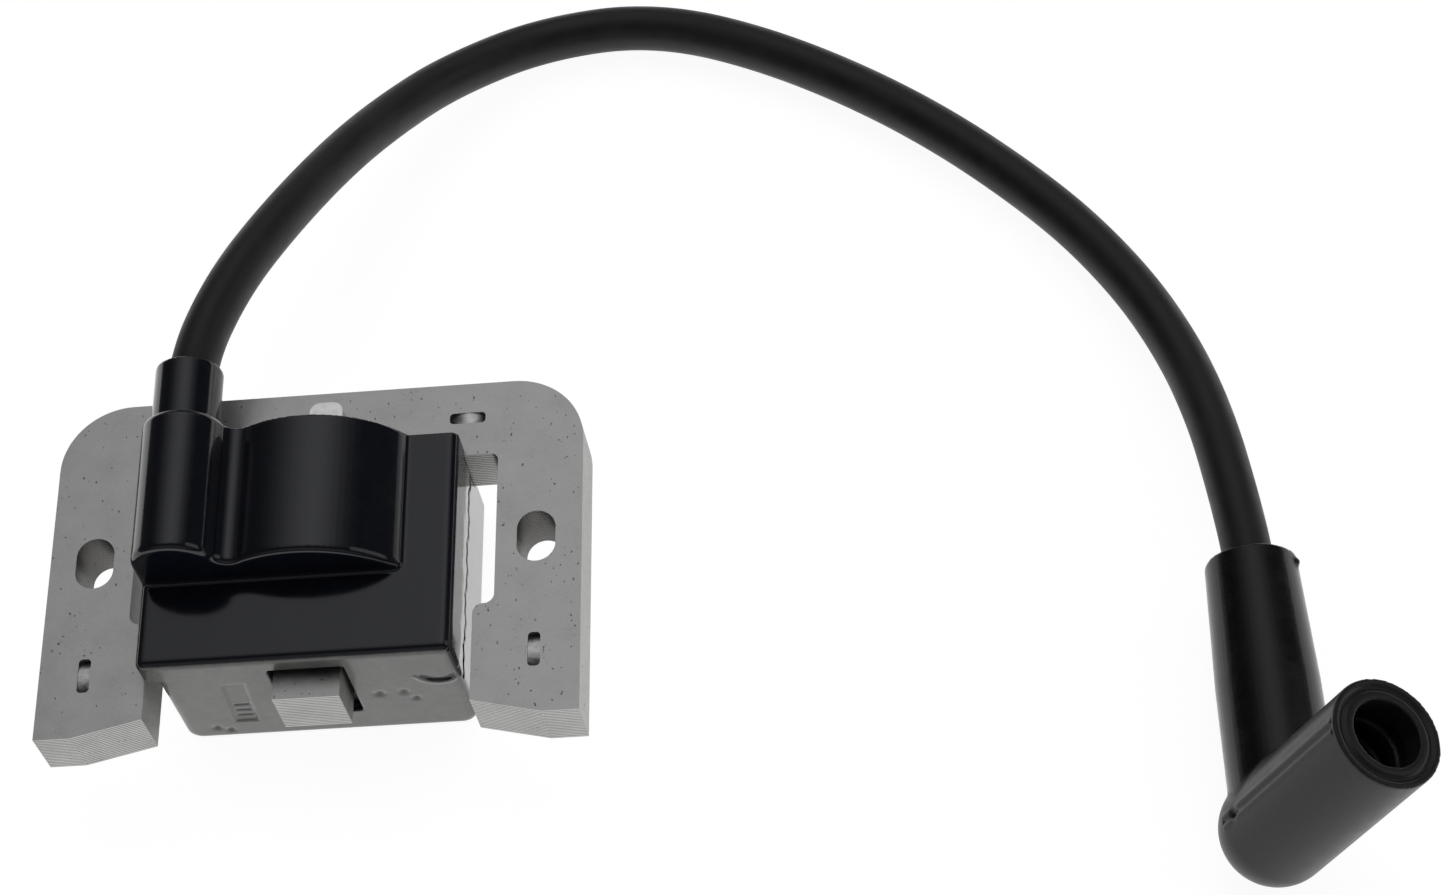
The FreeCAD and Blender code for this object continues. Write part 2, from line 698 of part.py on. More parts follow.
def plug_boot():
    """Rubber elbow: a tapered tube for the lead and a barrel for the plug."""
    heel = on_barrel(-BARREL_HEEL)
    root = Part.makeCone(TUBE_ROOT_RADIUS, TUBE_WAIST_RADIUS, TUBE_WAIST, ELBOW, TUBE_DIRECTION)
    sleeve = Part.makeCone(
        TUBE_WAIST_RADIUS, TUBE_END_RADIUS, TUBE_LENGTH - TUBE_WAIST, on_tube(TUBE_WAIST), TUBE_DIRECTION
    )
    boot = rod(BARREL_RADIUS, heel, BORE_MOUTH).fuse(Part.makeSphere(BARREL_RADIUS, heel))
    boot = boot.fuse(root.fuse(sleeve))
    boot = boot.cut(rod(LEAD_DIAMETER / 2 + LEAD_FIT, on_tube(LEAD_SEAT - 0.1), on_tube(TUBE_LENGTH + 1)))
    mouth = on_tube(TUBE_LENGTH - TUBE_MOUTH_DEPTH)
    flare = Part.makeCone(
        LEAD_DIAMETER / 2 + LEAD_FIT, TUBE_MOUTH_RADIUS, TUBE_MOUTH_DEPTH, mouth, TUBE_DIRECTION
    )
    boot = boot.cut(flare).cut(rod(WIRE_ROOM_RADIUS, ELBOW, on_tube(LEAD_SEAT)))
    boot = boot.cut(rod(CLIP_ROOM_RADIUS, on_barrel(BARREL_MOUTH - CLIP_ROOM_DEPTH), BORE_MOUTH))
    boot = boot.cut(rod(BORE_RADIUS, on_barrel(BARREL_MOUTH - BORE_DEPTH), on_barrel(BARREL_MOUTH + 1)))
    for depth in BORE_GROOVES:
        low = on_barrel(BARREL_MOUTH - depth - BORE_GROOVE_WIDTH)
        boot = boot.cut(rod(BORE_GROOVE_RADIUS, low, on_barrel(BARREL_MOUTH - depth)))
    return boot


def plug_clip():
    """Sprung brass ring that snaps over the plug's terminal."""
    low = BARREL_MOUTH - CLIP_ROOM_DEPTH + 1
    high = BARREL_MOUTH - BORE_DEPTH - 0.5
    clip = ring(CLIP_RADIUS, CLIP_BORE_RADIUS, on_barrel(low), on_barrel(high))
    slit_centre = on_barrel(low) - TUBE_DIRECTION * (CLIP_RADIUS + CLIP_BORE_RADIUS) / 2
    slit = Part.makeCylinder(CLIP_SLIT_RADIUS, high - low + 2, slit_centre - BARREL_AXIS, BARREL_AXIS)
    return clip.cut(slit)


def clip_stem():
    """Round stem from the crimp to the clip."""
    return rod(STEM_RADIUS, on_tube(STEM_SPAN[0]), on_tube(STEM_SPAN[1]))


def lead_crimp():
    """Brass sleeve round the conductor and the stem."""
    return ring(CRIMP_RADIUS, CONDUCTOR_RADIUS, on_tube(CRIMP_SPAN[0]), on_tube(CRIMP_SPAN[1]))


def conductor_end():
    """Bared strands between the lead and the crimp."""
    return rod(CONDUCTOR_RADIUS, on_tube(CRIMP_SPAN[0]), on_tube(LEAD_SEAT - 0.15))


def main():
    os.makedirs("parts", exist_ok=True)
    cavity = housing_cavity()
    save("core_laminations", *core_laminations())
    save("core_tongues", *core_tongues())
    save("housing_shell", housing_shell(cavity))
    inside = {
        "kill_terminal": [blade_terminal()],
        "pole_bobbin": [pole_bobbin()],
        "trigger_winding": [trigger_winding()],
        "charge_winding": [charge_winding()],
        "primary_winding": [primary_winding()],
        "secondary_bobbin": [secondary_bobbin()],
        "secondary_winding": secondary_winding(),
        "secondary_link": [secondary_link()],
        "tower_contact": [tower_contact()],
        "circuit_board": [circuit_board()],
        "storage_capacitor": [storage_capacitor()],
        "switching_thyristor": [switching_thyristor()],
        "rectifier_diodes": rectifier_diodes(),
        "board_resistors": board_resistors(),
        "board_links": board_links(),
        "kill_link": [kill_link()],
    }
    buried = []
    for node, solids in inside.items():
        save(node, *solids)
        buried.extend(solids)
    save("potting_fill", potting_fill(cavity, buried))
    save("earth_spring", earth_spring())
    save("spark_lead", route_tube(LEAD_ROUTE, LEAD_DIAMETER / 2))
    save("plug_boot", plug_boot())
    save("plug_clip", plug_clip())
    save("clip_stem", clip_stem())
    save("lead_crimp", lead_crimp())
    save("conductor_end", conductor_end())


main()
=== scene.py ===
"""A magneto ignition coil lying on a white table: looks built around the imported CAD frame."""

import bpy
import bmesh
import math
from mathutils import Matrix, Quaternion, Vector


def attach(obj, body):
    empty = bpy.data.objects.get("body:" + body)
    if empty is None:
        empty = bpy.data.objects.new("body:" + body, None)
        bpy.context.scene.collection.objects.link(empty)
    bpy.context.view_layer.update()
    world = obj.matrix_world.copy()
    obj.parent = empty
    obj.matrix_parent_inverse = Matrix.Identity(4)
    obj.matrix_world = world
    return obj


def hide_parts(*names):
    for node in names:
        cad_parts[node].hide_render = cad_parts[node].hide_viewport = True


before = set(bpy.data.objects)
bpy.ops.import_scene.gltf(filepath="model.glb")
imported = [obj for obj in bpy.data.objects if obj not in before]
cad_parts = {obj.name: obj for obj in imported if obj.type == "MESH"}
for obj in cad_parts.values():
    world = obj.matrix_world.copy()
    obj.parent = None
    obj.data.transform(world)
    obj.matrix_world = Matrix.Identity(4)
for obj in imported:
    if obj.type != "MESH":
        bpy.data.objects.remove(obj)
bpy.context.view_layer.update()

MM = 0.001

# --- Camera ---
CAMERA_PLACE = Vector((105.46, -230.36, 432.43)) * MM
CAMERA_AIM = Vector((56.05, 24.15, 0.0)) * MM
CAMERA_ROLL = math.radians(13.24)
CAMERA_LENS = 84.96
SENSOR_WIDTH = 36.0

# --- Spark lead ---
LEAD_DIAMETER = 7.0
LEAD_ROUTE = [
    (-17.4, 14.5, 28.0),
    (-17.6, 26.5, 28.0),
    (-13.2, 40.5, 27.5),
    (-7.0, 54.0, 24.2),
    (0.0, 69.5, 17.6),
    (6.5, 81.0, 11.8),
    (14.5, 90.6, 7.4),
    (28.5, 98.8, 4.4),
    (46.5, 100.6, 3.75),
    (66.0, 93.0, 3.7),
    (87.5, 79.0, 3.7),
    (106.2, 61.4, 3.75),
    (116.9, 46.9, 4.3),
    (123.5, 32.8, 5.9),
    (127.3, 19.0, 8.0),
    (129.4, 5.0, 9.8),
    (130.76, -6.5, 10.3),
    (131.22, -17.86, 10.3),
]

# --- Elbow boot ---
ELBOW = Vector((132.3, -44.94, 10.3))
BARREL_LEAN = math.radians(61.85)
BARREL_TURN = math.radians(5.4)
BARREL_AXIS = Vector((
    math.cos(BARREL_LEAN) * math.cos(BARREL_TURN),
    math.cos(BARREL_LEAN) * math.sin(BARREL_TURN),
    math.sin(BARREL_LEAN),
))
BARREL_MOUTH = 26.0
BARREL_RADIUS = 7.8
BORE_RADIUS = 4.8
TUBE_AXIS = Vector((-0.04, 1.0, 0.0)).normalized()
TUBE_END = 38.6
FLASH_SIDE = Vector((0.93, 0.0, 0.37))
FLASH_SIZE = 0.55
FLASH_WIDTH = 0.7
FLASH_FROM_END = 1.2
FLASH_OUT = 6.4
MOUTH_GROOVE_RADIUS = 6.5
MOUTH_GROOVE_WIDTH = 0.4
MOUTH_GROOVE_DEPTH = 0.45
MOUTH_FACE = 0.8
BORE_EDGE = 0.4
SEAM_FOOT = -3.5
SEAM_DEPTH = 0.2
SEAM_WIDTH = 0.3
SEAM_LIP_SHARE = 0.6
SEAM_LIP_AWAY = 0.75
SEAM_LIP_WIDTH = 0.4
SKIN_BAND = 0.5
GATE_HEIGHT = -0.7
GATE_RADIUS = 0.8
GATE_DEPTH = 0.5

# --- Core ---
CORE_BACK_Z = 9.9
CORE_FRONT_Z = 18.8
SHEET_COUNT = 18
SLOT_X = 31.75
SLOT_Y = 0.8
# how far round the centres of the slots the painted shade on their walls reaches, and the width of
# its fade
SLOT_SHADE_REACH = 4.6
SLOT_SHADE_FADE = 0.4
TONGUE_HALF_LENGTH = 2.58
TONGUE_HALF_WIDTH = 0.855
TONGUE_CORNER = 0.6
TONGUE_TOP = (21.4, 20.8)
TONGUE_LEG = (31.8, -17.0)
TONGUE_CROWN = 0.08
TONGUE_END_SINK = 0.95
TONGUE_PROUD = 0.45
TONGUE_OVERSIZE = 0.02
TONGUE_EDGE = 0.18
TONGUE_STEPS = 28

# --- Marks on the walls of the housing ---
WALL_X = 21.0
WALL_SEAM_Z = 13.6
WALL_SEAM_DEPTH = 0.25
WALL_SEAM_WIDTH = 0.3
WALL_SEAM_WAVES = ((0.35, 0.8, 0.0), (0.25, 2.3, 1.0))  # size, rate along Y, shift
SCUFF_RISE = (2.0, 4.0)
BOTTOM_Y = -18.7
# how far up from the bottom wall its rougher finish and painted reflection grey fade out
GROUND_AND_REFLECTION_FADE = (0.3, 0.5)
ON_WALL = 0.1
PLATE_CENTRE = (-11.3, 10.9)
PLATE_HALF = (1.7, 5.9)
PLATE_LEAN = 0.06
PLATE_DEPTH = 0.3
PLATE_EDGE = 0.25
RIB_HEIGHTS = (6.6, 8.2, 9.8)
RIB_DEPTH = 0.3
RIB_INSET = 0.5
RIB_HALF_HEIGHT = 0.25
CRESCENT_CENTRE = (17.9, 17.2)
CRESCENT_RADIUS = 2.6
CRESCENT_DROP = 1.2
CRESCENT_DEPTH = 0.4
CRESCENT_WIDTH = 0.4
CRESCENT_LIP = 0.2
CRESCENT_LIP_AWAY = 0.8
CRESCENT_LIP_WIDTH = 0.35
PIT_DEPTH = 0.4
PITS = (  # x, z, radius
    (8.7, 11.1, 0.65),
    (12.2, 11.3, 0.6),
    (13.6, 9.2, 0.5),
    (-16.4, 3.4, 0.55),
    (-14.6, 2.6, 0.5),
)

# --- Melted and rounded edges ---
VOXEL_CELL = 0.22
HOUSING_MELT = 5
BOOT_MELT = 6
EDGE_ANGLE = math.radians(35)
ROUNDED_NODES = {"core_laminations": 0.05, "kill_terminal": 0.1, "plug_clip": 0.06}

# --- Table and lights, placed in metres ---
TABLE_HALF = 3.0
TABLE_GREY = 0.35
TABLE_SHINE = 0.92
GLOW_STRENGTH = 0.74
AMBIENT_STRENGTH = 0.055
FILL_STRENGTH = 0.26
RIGHT_FILL_PLACE = (0.95, 0.1, 0.6)
RIGHT_FILL_AIM = (0.05, 0.02, 0)
RIGHT_FILL_SIDES = (0.7, 0.7)
RIGHT_FILL_POWER = 1.0

WAVE_PERIOD = 0.314  # length over which a wave texture of scale 1 repeats
UP = Vector((0, 0, 1))


# ---------------------------------------------------------------- mesh helpers


def add_object(name, data):
    obj = bpy.data.objects.new(name, data)
    bpy.context.scene.collection.objects.link(obj)
    return obj


def apply_modifiers(obj):
    """Turn the result of the object's modifiers into its own mesh."""
    graph = bpy.context.evaluated_depsgraph_get()
    mesh = bpy.data.meshes.new_from_object(obj.evaluated_get(graph))
    obj.modifiers.clear()
    obj.data = mesh


def shade_smooth(mesh):
    mesh.polygons.foreach_set("use_smooth", [True] * len(mesh.polygons))


def moulded(name, node, passes):
    """A copy of a CAD node with its edges melted as a moulding's are."""
    obj = add_object(name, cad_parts[node].data.copy())
    obj.data.materials.clear()
    remesh = obj.modifiers.new("cells", "REMESH")
    remesh.mode = "VOXEL"
    remesh.voxel_size = VOXEL_CELL * MM
    remesh.adaptivity = 0.0
    melt = obj.modifiers.new("melt", "SMOOTH")
    melt.factor = 0.5
    melt.iterations = passes
    apply_modifiers(obj)
    shade_smooth(obj.data)
    return obj


def bevel_edges(obj, width, segments=2):
    """Small rounded edges on a CAD node or a tongue, as a modifier."""
    bevel = obj.modifiers.new("edge", "BEVEL")
    bevel.width = width * MM
    bevel.segments = segments
    bevel.limit_method = "ANGLE"
    bevel.angle_limit = EDGE_ANGLE
    bevel.harden_normals = True
    shade_smooth(obj.data)


# ---------------------------------------------------------------- materials


class Nodes:
    """Short names for the shader nodes that the materials and the studio use."""

    def __init__(self, tree):
        self.tree = tree

    def link(self, source, target):
        self.tree.links.new(source, target)

    def add(self, kind, **settings):
        node = self.tree.nodes.new("ShaderNode" + kind)
        for key, value in settings.items():
            setattr(node, key, value)
        return node

    def parts(self, vector):
        """The X, Y and Z of a vector."""
        node = self.add("SeparateXYZ")
        self.link(vector, node.inputs[0])
        return node.outputs

    def spread(self, value, low, high, start=0.35, end=0.65, kind="LINEAR"):
        """value from start to end mapped to low to high."""
        node = self.add("MapRange", interpolation_type=kind)
        limits = {"From Min": start, "From Max": end, "To Min": low, "To Max": high}
        for key, number in limits.items():
            node.inputs[key].default_value = number
        self.link(value, node.inputs["Value"])
        return node.outputs["Result"]

    def rise(self, value, start, end):
        """A soft step from 0 to 1."""
        return self.spread(value, 0.0, 1.0, start, end, "SMOOTHSTEP")

    def fall(self, value, start, end):
        """A soft step from 1 to 0."""
        return self.spread(value, 1.0, 0.0, start, end, "SMOOTHSTEP")

    def maths(self, operation, first, second=0.0):
        """A Math node on two numbers or sockets."""
        node = self.add("Math", operation=operation)
        for socket, value in zip(node.inputs, (first, second)):
            if isinstance(value, (int, float)):
                socket.default_value = value
            else:
                self.link(value, socket)
        return node.outputs[0]

    def times(self, *values):
        """The product of numbers or sockets."""
        product = values[0]
        for value in values[1:]:
            product = self.maths("MULTIPLY", product, value)
        return product


class Surface(Nodes):
    """A procedural material: a principled shader and the nodes that feed it."""

    def __init__(self, name, metallic=0.0, specular=0.5, coat=0.0, coat_rough=0.1):
        self.material = bpy.data.materials.new(name)
        self.material.use_nodes = True
        super().__init__(self.material.node_tree)
        self.shader = self.tree.nodes["Principled BSDF"]
        self.shader.inputs["Metallic"].default_value = metallic
        self.shader.inputs["Coat Weight"].default_value = coat
        self.shader.inputs["Coat Roughness"].default_value = coat_rough
        self.shader.inputs["Specular IOR Level"].default_value = specular
        self.place = self.add("TexCoord").outputs["Object"]
        self.geometry = self.add("NewGeometry")
        self.height = None

    def millimetres(self, axis):
        """The surface's own X, Y or Z in millimetres."""
        return self.maths("MULTIPLY", self.parts(self.place)["XYZ".index(axis)], 1 / MM)

    def distance_from_line(self, point, axis):
        """Millimetres from a line given by its direction and a point on it in millimetres."""
        arm = self.add("VectorMath", operation="SUBTRACT")
        arm.inputs[1].default_value = point * MM
        self.link(self.place, arm.inputs[0])
        across = self.add("VectorMath", operation="CROSS_PRODUCT")
        across.inputs[1].default_value = axis
        self.link(arm.outputs["Vector"], across.inputs[0])
        size = self.add("VectorMath", operation="LENGTH")
        self.link(across.outputs["Vector"], size.inputs[0])
        return self.maths("MULTIPLY", size.outputs["Value"], 1 / MM)

    def noise(self, size, stretch=(1, 1, 1), detail=3.0, roughness=0.5):
        """Noise whose blobs are about size millimetres wide."""
        mapping = self.add("Mapping")
        mapping.inputs["Scale"].default_value = [1 / (size * MM * axis) for axis in stretch]
        self.link(self.place, mapping.inputs["Vector"])
        node = self.add("TexNoise")
        node.inputs["Scale"].default_value = 1.0
        node.inputs["Detail"].default_value = detail
        node.inputs["Roughness"].default_value = roughness
        self.link(mapping.outputs["Vector"], node.inputs["Vector"])
        return node.outputs["Fac"]

    def colours(self, value, dark, light, start=0.35, end=0.65):
        """A ramp between two colours."""
        node = self.add("ValToRGB")
        first, last = node.color_ramp.elements
        first.position, first.color = start, (*dark, 1)
        last.position, last.color = end, (*light, 1)
        self.link(value, node.inputs["Fac"])
        return node.outputs["Color"]

    def mixed(self, value, first, second):
        """first where value is 0 and second where it is 1; each is a colour or a socket."""
        node = self.add("Mix", data_type="RGBA")
        self.link(value, node.inputs[0])
        for socket, colour in ((node.inputs[6], first), (node.inputs[7], second)):
            if isinstance(colour, tuple):
                socket.default_value = (*colour, 1)
            else:
                self.link(colour, socket)
        return node.outputs[2]

    def facing(self, axis, start, end):
        """0 to 1 as a face turns towards a direction in the world, also when its body is posed."""
        dot = self.add("VectorMath", operation="DOT_PRODUCT")
        dot.inputs[1].default_value = axis
        self.link(self.geometry.outputs["Normal"], dot.inputs[0])
        return self.rise(dot.outputs["Value"], start, end)

    def colour(self, source):
        self.link(source, self.shader.inputs["Base Color"])

    def rough(self, source):
        self.link(source, self.shader.inputs["Roughness"])

    def bump(self, source, depth, strength=1.0):
        """Relief whose full height is depth millimetres; later calls lie on earlier ones."""
        node = self.add("Bump")
        node.inputs["Strength"].default_value = strength
        node.inputs["Distance"].default_value = depth * MM
        self.link(source, node.inputs["Height"])
        if self.height is not None:
            self.link(self.height, node.inputs["Normal"])
        self.height = node.outputs["Normal"]
        self.link(self.height, self.shader.inputs["Normal"])


def core_steel():
    """Punched silicon steel: dull pitted faces, sheet edges in fine lines, and painted shade
    darkening the upright walls in the slots.
    """
    s = Surface("core_steel", metallic=1.0)
    grain = s.noise(0.1, stretch=(1, 5, 1), detail=3.0)
    patches = s.noise(5.0, detail=5.0, roughness=0.6)
    specks = s.noise(0.5, stretch=(1, 1.6, 3), detail=1.0)
    pitch = (CORE_FRONT_Z - CORE_BACK_Z) / SHEET_COUNT
    level = s.maths("DIVIDE", s.maths("SUBTRACT", s.millimetres("Z"), CORE_BACK_Z), pitch)
    joint = s.fall(s.maths("PINGPONG", level, 0.5), 0.08, 0.3)
    upright = s.fall(s.maths("ABSOLUTE", s.parts(s.geometry.outputs["Normal"])[2]), 0.3, 0.6)
    aside = s.maths("SUBTRACT", s.maths("ABSOLUTE", s.millimetres("X")), SLOT_X)
    above = s.maths("SUBTRACT", s.millimetres("Y"), SLOT_Y)
    reach = s.maths("SQRT", s.maths("ADD", s.times(aside, aside), s.times(above, above)))
    # painted shade: upright faces within reach of the centres of the slots are marked for darkening
    slot_shade_mask = s.times(upright, s.fall(reach, SLOT_SHADE_REACH - SLOT_SHADE_FADE, SLOT_SHADE_REACH))
    face = s.colours(patches, (0.435, 0.432, 0.42), (0.6, 0.597, 0.582), 0.32, 0.68)
    brushed = s.mixed(s.spread(grain, 0.0, 0.3), face, (0.66, 0.655, 0.64))
    pitted = s.mixed(s.spread(specks, 0.0, 0.75, 0.73, 0.78), brushed, (0.12, 0.118, 0.115))
    # painted shade: the walls of the slots take a dark colour standing in for the shade inside them
    slot_shaded = s.mixed(s.times(slot_shade_mask, 0.8), pitted, (0.1, 0.097, 0.09))
    s.colour(s.mixed(s.times(joint, upright, 0.75), slot_shaded, (0.06, 0.058, 0.055)))
    s.rough(s.maths("ADD", s.spread(patches, 0.36, 0.44), s.times(upright, 0.08)))
    s.bump(grain, 0.006)
    s.bump(s.times(joint, upright, -1.0), 0.03)
    s.bump(s.spread(specks, 0.0, -1.0, 0.73, 0.78), 0.03)
    return s.material


def tongue_steel():
    """Staked tongues: smeared bright along the middle, with painted shade darkening the sunk ends.
    """
    s = Surface("tongue_steel", metallic=1.0)
    smear = s.noise(0.6, stretch=(1.5, 1, 1), detail=4.0)
    crown_clear_of_shade = s.rise(s.millimetres("Z"), CORE_FRONT_Z - 0.75, CORE_FRONT_Z - 0.2)
    bright = s.colours(smear, (0.5, 0.49, 0.48), (0.78, 0.77, 0.75))
    # painted shade: the sunk ends take a dark colour standing in for the shade in their recess
    s.colour(s.mixed(crown_clear_of_shade, (0.2, 0.196, 0.19), bright))
    s.rough(s.spread(smear, 0.3, 0.45))
    s.bump(smear, 0.03)
    return s.material


def gloss_moulding():
    """Gloss black thermoset: faint sinks, rub marks, and a rougher bottom wall whose grey is a
    painted reflection of the white table.
    """
    s = Surface("gloss_moulding", specular=0.28, coat=0.6, coat_rough=0.12)
    sinks = s.noise(9.0, detail=1.0)
    haze = s.noise(2.5, detail=5.0, roughness=0.65)
    rubs = s.noise(0.16, stretch=(9, 1, 1), detail=2.0)
    streaks = s.noise(1.6, stretch=(1, 3, 1), detail=4.0, roughness=0.6)
    wander = s.maths("ADD", s.millimetres("Z"), s.spread(streaks, -1.6, 1.6, 0.2, 0.8))
    near_bottom = s.fall(s.millimetres("Y"), *(BOTTOM_Y + depth for depth in GROUND_AND_REFLECTION_FADE))
    # the downward bottom wall: rougher, and painted grey as a reflection of the white table below
    ground_and_painted_reflection = s.times(s.facing((0, -1, 0), 0.7, 0.9), near_bottom)
    smears = s.rise(wander, *(WALL_SEAM_Z + height for height in SCUFF_RISE))
    scuffed = s.times(s.facing((1, 0, 0), 0.8, 0.95), smears)
    black = s.colours(haze, (0.004, 0.005, 0.0095), (0.0065, 0.0075, 0.0145))
    # painted reflection: the grey the bottom wall takes in place of mirroring the table
    grey = s.colours(haze, (0.08, 0.0785, 0.074), (0.14, 0.1375, 0.13), 0.3, 0.7)
    s.colour(s.mixed(ground_and_painted_reflection, black, grey))
    gloss = s.maths("ADD", s.spread(haze, 0.1, 0.17), s.spread(rubs, 0.0, 0.05, 0.62, 0.75))
    worn = s.maths("ADD", s.times(ground_and_painted_reflection, 0.25), s.times(scuffed, 0.6))
    s.rough(s.maths("ADD", gloss, worn))
    s.bump(sinks, 0.012)
    s.bump(rubs, 0.002, 0.6)
    s.bump(s.times(haze, ground_and_painted_reflection), 0.02)
    s.bump(s.times(streaks, scuffed), 0.5)
    return s.material


def lead_jacket():
    """Satin black jacket with faint drawing lines and scuffs."""
    s = Surface("lead_jacket", specular=0.4)
    skin = s.noise(0.25, detail=3.0)
    cloudy = s.noise(6.0, detail=4.0, roughness=0.6)
    s.colour(s.colours(cloudy, (0.011, 0.011, 0.012), (0.019, 0.019, 0.02)))
    s.rough(s.spread(cloudy, 0.42, 0.55))
    s.bump(skin, 0.018, 0.5)
    return s.material


def boot_rubber():
    """Moulded rubber: black and shiny on the tube; matt on the barrel, which is lighter grey from
    dust mottling and painted light.
    """
    s = Surface("boot_rubber", specular=0.25, coat=0.25, coat_rough=0.22)
    skin = s.noise(0.3, detail=3.0)
    dust = s.noise(2.6, detail=5.0, roughness=0.7)
    from_axis = s.distance_from_line(ELBOW, BARREL_AXIS)
    barrel = s.fall(from_axis, BARREL_RADIUS + 0.2, BARREL_RADIUS + 0.5)
    flank = s.maths("SUBTRACT", 1.0, s.facing(BARREL_AXIS, 0.8, 0.93))
    # painted light and dust: the barrel's sides take a lighter grey, standing in for the light
    # falling on them, mottled as dust
    dust_and_painted_light = s.times(barrel, flank)
    plain_black = s.colours(dust, (0.0035, 0.0035, 0.004), (0.007, 0.007, 0.0075))
    grey = s.colours(dust, (0.010, 0.0099, 0.0092), (0.028, 0.0277, 0.026), 0.3, 0.7)
    s.colour(s.mixed(dust_and_painted_light, plain_black, grey))
    s.rough(s.maths("ADD", s.spread(dust, 0.2, 0.3), s.times(barrel, 0.22)))
    s.bump(s.times(skin, barrel), 0.012, 0.5)
    s.bump(dust, 0.015, 0.35)
    return s.material


def bright_tin():
    """Tinned blade of the terminal, with drawing lines across it."""
    s = Surface("bright_tin", metallic=1.0)
    cloudy = s.noise(0.9, detail=3.0)
    drawn = s.noise(0.07, stretch=(1, 14, 1), detail=2.0)
    s.colour(s.colours(cloudy, (0.78, 0.78, 0.76), (0.92, 0.92, 0.9)))
    s.rough(s.spread(drawn, 0.2, 0.34))
    s.bump(drawn, 0.003)
    return s.material


def cast_resin():
    """Poured epoxy: slow ripples and a few pinholes."""
    s = Surface("cast_resin", specular=0.5)
    ripples = s.noise(11.0, detail=2.0)
    pores = s.noise(0.7, detail=1.0)
    s.colour(s.colours(ripples, (0.010, 0.010, 0.011), (0.018, 0.018, 0.019)))
    s.rough(s.spread(ripples, 0.12, 0.24))
    s.bump(ripples, 0.12)
    s.bump(s.spread(pores, 1.0, 0.0, 0.7, 0.76), 0.08, 0.7)
    return s.material


def plain_surface(name, dark, light, rough, size=0.6, depth=0.01, metallic=0.0):
    """A mottled surface for the pieces sealed inside."""
    s = Surface(name, metallic=metallic)
    mottle = s.noise(size, detail=3.0)
    s.colour(s.colours(mottle, dark, light))
    s.rough(s.spread(mottle, rough - 0.06, rough + 0.06))
    s.bump(mottle, depth)
    return s.material


def wound_copper(name, pitch):
    """Enamelled wire: turns side by side along Y."""
    s = Surface(name, metallic=1.0)
    wave = s.add("TexWave", bands_direction="Y")
    wave.inputs["Scale"].default_value = WAVE_PERIOD / (pitch * MM)
    wave.inputs["Distortion"].default_value = 0.6
    s.link(s.place, wave.inputs["Vector"])
    turns = wave.outputs["Fac"]
    s.colour(s.colours(turns, (0.3, 0.09, 0.03), (0.72, 0.32, 0.14), 0.1, 0.8))
    s.rough(s.spread(turns, 0.42, 0.3, 0.0, 1.0))
    s.bump(turns, pitch / 2)
    return s.material


# ---------------------------------------------------------------- pieces


def spark_lead(material):
    """The high-tension lead on one smooth line."""
    curve = bpy.data.curves.new("lead_cord", "CURVE")
    curve.dimensions = "3D"
    curve.bevel_depth = LEAD_DIAMETER / 2 * MM
    curve.bevel_resolution = 10
    curve.use_fill_caps = True
    line = curve.splines.new("NURBS")
    line.points.add(len(LEAD_ROUTE) - 1)
    for point, place in zip(line.points, LEAD_ROUTE):
        point.co = (*(Vector(place) * MM), 1.0)
    line.order_u = 3
    line.use_endpoint_u = True
    line.resolution_u = 16
    line.use_smooth = True
    lead = add_object("lead_cord", curve)
    curve.materials.append(material)
    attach(lead, "coil_unit")
    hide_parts("spark_lead")
    return lead


def near(distance, width):
    """1 on a line, fading smoothly to 0 about two widths away."""
    return math.exp(-((distance / width) ** 2))


def box_depth(x, z, centre, half):
    """1 inside an upright rectangle, fading to 0 over its edge."""
    inside = min(half[0] - abs(x - centre[0]), half[1] - abs(z - centre[1]))
    return min(max(inside / PLATE_EDGE, 0.0), 1.0)


def bottom_mark(x, z):
    """Depth of the tool marks on the bottom wall, in millimetres."""
    lean = x - PLATE_LEAN * (z - PLATE_CENTRE[1])
    depth = PLATE_DEPTH * box_depth(lean, z, PLATE_CENTRE, PLATE_HALF)
    rib_half = (PLATE_HALF[0] - RIB_INSET, RIB_HALF_HEIGHT)
    for height in RIB_HEIGHTS:
        depth += RIB_DEPTH * box_depth(lean, z, (PLATE_CENTRE[0], height), rib_half)
    if z < CRESCENT_CENTRE[1] - CRESCENT_DROP:
        away = math.hypot(x - CRESCENT_CENTRE[0], z - CRESCENT_CENTRE[1]) - CRESCENT_RADIUS
        dent = CRESCENT_DEPTH * near(away, CRESCENT_WIDTH)
        depth += dent - CRESCENT_LIP * near(away - CRESCENT_LIP_AWAY, CRESCENT_LIP_WIDTH)
    for pit_x, pit_z, radius in PITS:
        depth += PIT_DEPTH * near(math.hypot(x - pit_x, z - pit_z), radius)
    return depth


def seam_mark(y, z):
    """Depth of the uneven mould seam along the right wall."""
    wander = sum(size * math.sin(rate * y + shift) for size, rate, shift in WALL_SEAM_WAVES)
    return WALL_SEAM_DEPTH * near(z - WALL_SEAM_Z - wander, WALL_SEAM_WIDTH)


def mark_housing(mesh):
    """Press the tool marks into the bottom wall and the seam into the right wall."""
    for vertex in mesh.vertices:
        x, y, z = vertex.co / MM
        if abs(y - BOTTOM_Y) < ON_WALL:
            vertex.co.y += bottom_mark(x, z) * MM
        elif abs(x - WALL_X) < ON_WALL:
            vertex.co.x -= seam_mark(y, z) * MM


